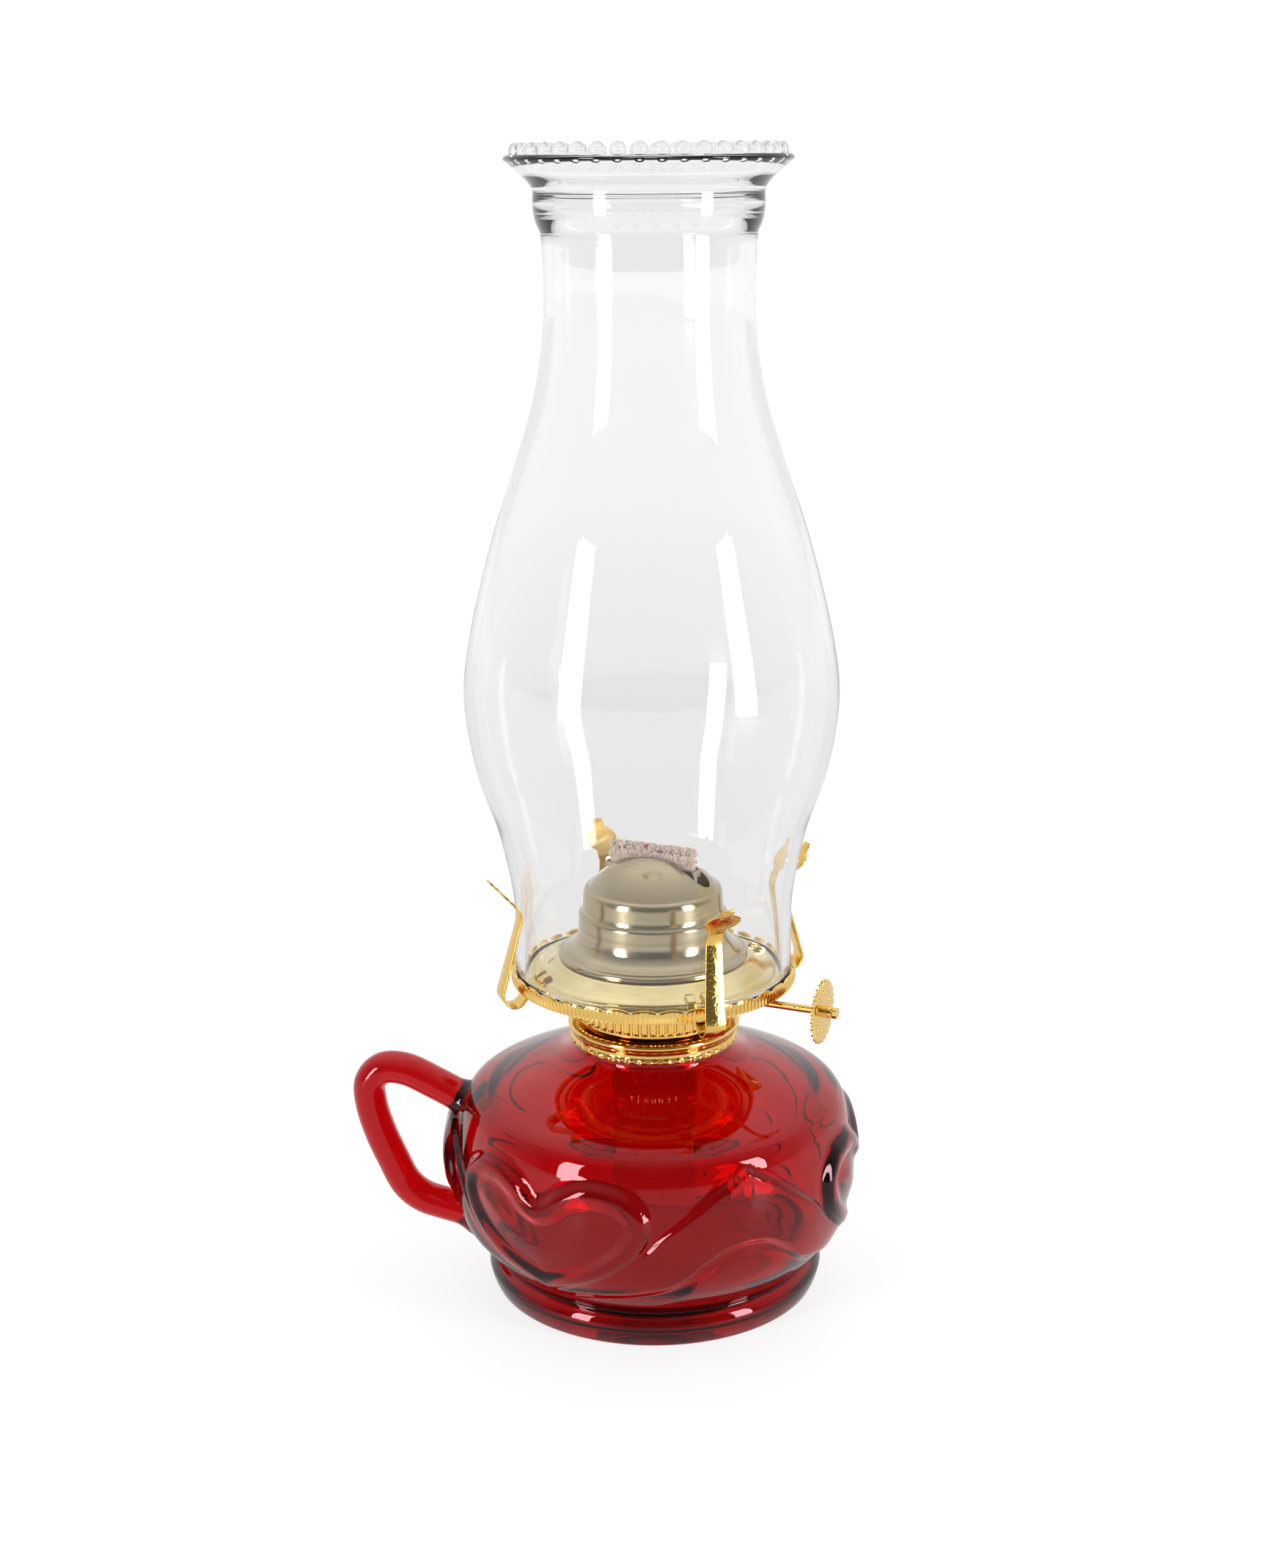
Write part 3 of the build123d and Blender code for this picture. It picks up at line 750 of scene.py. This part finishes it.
collar = {"outside": [(22.9, 71.8), (23.3, 72.1), (23.4, 72.6), (23.3, 73.0), (22.8, 73.4), (22.75, 74.3),
                      (23.0, 75.1), (23.7, 75.7), (23.9, 76.4), (23.7, 77.1), (22.9, 77.5), (19.6, 77.9),
                      (19.0, 78.4), (17.2, 78.4), (16.3, 78.2)],
          "crimpUp": 72.5, "crimpReach": 0.75,
          "threadRadius": 16.25, "threadDeep": 0.6, "threadPitch": 1.8, "threadFoot": 71.0, "turns": 4,
          "thick": 0.5, "waves": 44, "waveDeep": 0.5}


def buildCollar():
    line = softLine(collar["outside"], 0.5)
    for i in reversed(range(collar["turns"])):
        foot = collar["threadFoot"] + i * collar["threadPitch"]
        line.append(Vector((collar["threadRadius"], foot + collar["threadPitch"] / 2)))
        line.append(Vector((collar["threadRadius"] - collar["threadDeep"], foot)))
    piece = toObject(spinOutline(sheetLoop(line, collar["thick"]), 480), "collarRing")
    places = readPlaces(piece)
    azimuth = np.arctan2(places[:, 1], places[:, 0])
    radius = np.hypot(places[:, 0], places[:, 1]) / mm
    toCrimp = (places[:, 2] / mm - collar["crimpUp"]) / collar["crimpReach"]
    crimp = np.exp(-toCrimp ** 2) * (radius > 22.8) * collar["waveDeep"]
    ripple = 0.5 + 0.5 * np.cos(azimuth * collar["waves"])
    places[:, :2] *= (1 - crimp * ripple / 23.9)[:, None]
    writePlaces(piece, places)
    return piece


collarRing = buildCollar()
finishPiece(collarRing, [brass["goldBrass"]], "lamp", ["collar"])


# four sprung prongs, from the frame's own strips with their edges rolled
def buildProng(number):
    bm = bmesh.new()
    bm.from_mesh(frame["nodes"][f"prong_{number}"].data)
    bmesh.ops.remove_doubles(bm, verts=bm.verts, dist=1e-6)
    bmesh.ops.dissolve_limit(bm, angle_limit=radians(4), verts=bm.verts, edges=bm.edges)
    rollEdges(bm, sharpEdges(bm, 50), 0.12, 2)
    piece = toObject(bm, f"prongStrip{number}")
    return finishPiece(piece, [brass["stripBrass"]], f"prong_{number}", [f"prong_{number}"])


prongStrips = [buildProng(number) for number in (1, 2, 3, 4)]


# thumb wheel
wheel = {"radius": 8.75, "thick": 0.8, "lobes": 24, "lobeDeep": 1.0,
         "dimples": 10, "dimpleRing": 5.4, "dimpleRadius": 0.62,
         "hub": [(0, -2.3), (1.7, -2.3), (1.9, -2.1), (1.9, 0.0), (1.6, 0.3), (1.6, 2.4), (1.3, 2.9),
                 (0, 3.0)]}


def buildWheel():
    low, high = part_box("thumb_wheel")
    distance = ((low + high) / 2 - raiserPoint).dot(raiserAxis)
    place = onShaft(raiserPoint + raiserAxis * distance)
    bm = bmesh.new()
    bmesh.ops.create_circle(bm, cap_ends=True, segments=wheel["lobes"] * 8, radius=wheel["radius"] * mm)
    for vert in bm.verts:
        turn = atan2(vert.co.y, vert.co.x)
        vert.co *= 1 - wheel["lobeDeep"] / wheel["radius"] * (1 - abs(cos(turn * wheel["lobes"] / 2))) ** 1.3
    lifted = vertsOf(bmesh.ops.extrude_face_region(bm, geom=list(bm.faces)))
    bmesh.ops.translate(bm, verts=lifted, vec=(0, 0, wheel["thick"] * mm))
    bmesh.ops.translate(bm, verts=bm.verts, vec=(0, 0, -wheel["thick"] / 2 * mm))
    bmesh.ops.recalc_face_normals(bm, faces=bm.faces)
    rollEdges(bm, sharpEdges(bm, 60), 0.2, 3)
    for side in (-1, 1):
        for i in range(wheel["dimples"]):
            turn = tau * i / wheel["dimples"]
            ring = wheel["dimpleRing"]
            spot = Vector((cos(turn) * ring, sin(turn) * ring, side * wheel["thick"] / 2))
            flat = Matrix.Translation(spot * mm) @ Matrix.Diagonal((1, 1, 0.45, 1))
            bmesh.ops.create_uvsphere(bm, u_segments=10, v_segments=6, radius=wheel["dimpleRadius"] * mm,
                                      matrix=flat)
    bmesh.ops.transform(bm, matrix=place, verts=bm.verts)
    return toObject(bm, "thumbWheel"), place


thumbWheel, wheelPlace = buildWheel()
finishPiece(thumbWheel, [brass["goldBrass"]], "raiser", ["thumb_wheel"])
hubBm = spinOutline(softLine(wheel["hub"], 0.25), 32, closed=False)
bmesh.ops.transform(hubBm, matrix=wheelPlace, verts=hubBm.verts)
wheelHub = toObject(hubBm, "wheelHub")
finishPiece(wheelHub, [brass["goldBrass"]], "raiser", ["thumb_wheel_hub"])


# wick: a woven ribbon whose cut top has come loose
wick = {"flat": (0.0254, 0.104), "thick": 2.2, "rows": 90, "topGap": 2.2, "tufts": 1500, "tuftReach": 4.0,
        "fibres": 300, "fibreLong": 1.6, "seed": 7, "squeeze": (12.88, 1.48)}


def buildWick():
    low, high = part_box("wick")
    wide, long = wick["flat"]
    top = low.z + long
    bm = bmesh.new()
    bmesh.ops.create_grid(bm, x_segments=40, y_segments=wick["rows"], size=0.5)
    shown = long - wick["topGap"] * mm      # the rest is frayed
    turnUp = Matrix.Rotation(pi / 2, 4, "X") @ Matrix.Diagonal((wide - 0.6 * mm, shown, 1, 1))
    bmesh.ops.transform(bm, matrix=Matrix.Translation((0, 0, low.z + shown / 2)) @ turnUp, verts=bm.verts)
    bmesh.ops.recalc_face_normals(bm, faces=bm.faces)
    bmesh.ops.solidify(bm, geom=list(bm.faces), thickness=wick["thick"] * mm)
    bmesh.ops.translate(bm, verts=bm.verts, vec=(0, -sum(vert.co.y for vert in bm.verts) / len(bm.verts), 0))
    rollEdges(bm, sharpEdges(bm, 60), 0.5, 3)
    for vert in bm.verts:
        vert.co.y += 0.10 * mm * sin(vert.co.x / mm * 3.1) * sin(vert.co.z / mm * 2.3)
    bmesh.ops.transform(bm, matrix=burnerTurn, verts=bm.verts)
    return toObject(bm, "wickRibbon"), top


def buildFringe(top):
    # the cut end: small tufts of yarn all round the top of the ribbon, with loose fibres between them
    chance = random.Random(wick["seed"])
    bm = bmesh.new()
    halfWide, halfThick = wick["flat"][0] / 2 / mm - 0.2, wick["thick"] / 2 + 0.1
    for number in range(wick["tufts"]):
        x, down = chance.uniform(-halfWide, halfWide), chance.random() ** 1.3 * wick["tuftReach"]
        y = chance.choice((-1, 1)) * halfThick if down > 1.6 else chance.uniform(-halfThick, halfThick)
        spot = Vector((x, y * chance.uniform(0.85, 1.1), -0.4 - down)) * mm
        place = Matrix.Translation(spot + Vector((0, 0, top)))
        wideTo, deepTo, tallTo = chance.uniform(0.6, 1.1), chance.uniform(0.6, 0.9), chance.uniform(0.8, 1.3)
        squash = Matrix.Diagonal((wideTo, deepTo, tallTo, 1))
        turn = Matrix.Rotation(chance.uniform(0, pi), 4, "Y")
        tuft = bmesh.ops.create_icosphere(bm, subdivisions=1, radius=chance.uniform(0.28, 0.48) * mm,
                                          matrix=place @ turn @ squash)["verts"]
        if abs(x + 1.4) < 0.4 and y < 0 and down < 1.4:      # the marking thread
            for face in {face for vert in tuft for face in vert.link_faces}:
                face.material_index = 1
    for number in range(wick["fibres"]):
        x, y = chance.uniform(-halfWide, halfWide), chance.uniform(-halfThick, halfThick)
        lean = Vector((chance.gauss(0, 0.7), chance.gauss(0, 0.8) + y * 0.5, 1)).normalized()
        long, thick = chance.uniform(0.5, 1.0) * wick["fibreLong"] * mm, chance.uniform(0.05, 0.09) * mm
        place = Matrix.Translation((x * mm, y * mm, top - 1.3 * mm))
        place = place @ lean.to_track_quat("Z", "Y").to_matrix().to_4x4()
        bmesh.ops.create_cone(bm, cap_ends=True, segments=4, radius1=thick, radius2=thick * 0.5, depth=long,
                              matrix=place @ Matrix.Translation((0, 0, long / 2)))
    wide, thick = wick["squeeze"]
    for vert in bm.verts:      # what the tube holds together when the wick is drawn down
        vert.co.x = max(-wide * mm, min(wide * mm, vert.co.x))
        vert.co.y = max(-thick * mm, min(thick * mm, vert.co.y))
    bmesh.ops.transform(bm, matrix=burnerTurn, verts=bm.verts)
    return toObject(bm, "wickFringe")


wickRibbon, wickTop = buildWick()
finishPiece(wickRibbon, [cotton], "wick", ["wick"], 60)
wickFringe = buildFringe(wickTop)
fringeMarks = [face.material_index for face in wickFringe.data.polygons]
finishPiece(wickFringe, [cotton, redThread], "wick", (), 180)
wickFringe.data.polygons.foreach_set("material_index", fringeMarks)


# finishes for the pieces that keep their frame shape
keptNodes = {"collar_cement": plaster, "burner_base": brass["goldBrass"], "air_screen": brass["goldBrass"],
             "wick_tube": brass["satinBrass"], "spur_cover": brass["satinBrass"],
             "raiser_shaft": brass["goldBrass"]}
keptNodes.update({f"spur_wheel_{number}": brass["plainBrass"] for number in (1, 2, 3, 4)})
for name, material in keptNodes.items():
    node = frame["nodes"][name]
    for socket in node.material_slots:
        socket.material = material
    if not node.material_slots:
        node.data.materials.append(material)
print("frame pieces finished")


# floor, light and camera
# sky and glow values are strengths; the sky brightens from the camera's side to the back
view = {"turn": 4.0, "pitch": 15.26, "roll": -0.44, "place": (37.6, -598.8, 308.0), "lens": 52.66,
        "floor": 6.0, "floorColour": (0.24, 0.24, 0.242), "floorGlow": 0.56, "floorSeen": 0.22,
        "floorFar": 0.20,
        "skyFront": 0.13, "skyBack": 0.90, "skyTop": 0.55, "skySeen": 1.05,
        "softbox": 9.0, "boxDistance": 1.1, "boxUp": 0.35, "boxSize": (0.24, 0.66)}


def buildFloor():
    bm = bmesh.new()
    bmesh.ops.create_grid(bm, x_segments=1, y_segments=1, size=view["floor"])
    floor = toObject(bm, "floor")
    material, tree, shader, place = startMaterial("paleFloor")
    shader.inputs["Base Color"].default_value = (*view["floorColour"], 1)
    shader.inputs["Roughness"].default_value = 0.6
    shader.inputs["Specular IOR Level"].default_value = 0.2
    shader.inputs["Emission Color"].default_value = (1, 1, 1, 1)
    seen = tree.nodes.new("ShaderNodeLightPath").outputs["Is Camera Ray"]      # paler where seen directly
    apart = tree.nodes.new("ShaderNodeSeparateXYZ")
    tree.links.new(place, apart.inputs[0])
    near = view["floorGlow"]
    far = rangeNode(tree, apart.outputs["Y"], 0.0, 1.6, near, near + view["floorFar"])
    glow = mathNode(tree, "ADD", mathNode(tree, "MULTIPLY", seen, view["floorSeen"]), far)
    tree.links.new(glow, shader.inputs["Emission Strength"])
    floor.data.materials.append(material)


def buildWorld():
    # bright behind and overhead, greyer on the side that the camera stands
    world = bpy.data.worlds.new("studio")
    bpy.context.scene.world = world
    world.use_nodes = True
    tree = world.node_tree
    direction = tree.nodes.new("ShaderNodeTexCoord").outputs["Generated"]
    apart = tree.nodes.new("ShaderNodeSeparateXYZ")
    tree.links.new(direction, apart.inputs[0])
    back = rangeNode(tree, apart.outputs["Y"], -0.5, 0.45, view["skyFront"], view["skyBack"])
    up = rangeNode(tree, apart.outputs["Z"], 0.6, 0.95, 0.0, view["skyTop"])
    direct = tree.nodes.new("ShaderNodeLightPath").outputs["Is Camera Ray"]
    seen = mathNode(tree, "MULTIPLY", direct, view["skySeen"])
    sky = mathNode(tree, "MAXIMUM", mathNode(tree, "ADD", back, up), seen)
    tree.links.new(sky, tree.nodes["Background"].inputs["Strength"])
    tree.nodes["Background"].inputs["Color"].default_value = (1, 1, 1, 1)


def softbox(name, azimuth):
    # azimuth is measured from the camera's side of the lamp, to the right
    distance, up = view["boxDistance"], view["boxUp"]
    angle = radians(-90 + view["turn"] + azimuth)
    place = Vector((cos(angle) * distance, sin(angle) * distance, up))
    light = bpy.data.lights.new(name, "AREA")
    light.shape = "RECTANGLE"
    light.size, light.size_y = view["boxSize"]
    light.energy = view["softbox"]
    lamp = bpy.data.objects.new(name, light)
    lamp.location = place
    lamp.rotation_euler = (Vector((0, 0, up * 0.9)) - place).to_track_quat("-Z", "Y").to_euler()
    bpy.context.scene.collection.objects.link(lamp)


def buildCamera():
    data = bpy.data.cameras.new("camera")
    data.lens = view["lens"]
    data.sensor_width = 36
    camera = bpy.data.objects.new("camera", data)
    turn, pitch = radians(view["turn"]), radians(view["pitch"])
    look = Vector((-sin(turn) * cos(pitch), cos(turn) * cos(pitch), -sin(pitch)))
    aim = look.to_track_quat("-Z", "Y").to_matrix().to_4x4() @ Matrix.Rotation(radians(view["roll"]), 4, "Z")
    camera.matrix_world = Matrix.Translation(Vector(view["place"]) * mm) @ aim
    bpy.context.scene.collection.objects.link(camera)
    bpy.context.scene.camera = camera


buildFloor()
buildWorld()
softbox("softboxLeft", -49)
softbox("softboxRight", 58)
buildCamera()
bpy.context.scene.view_settings.view_transform = "Standard"
print("stage set")
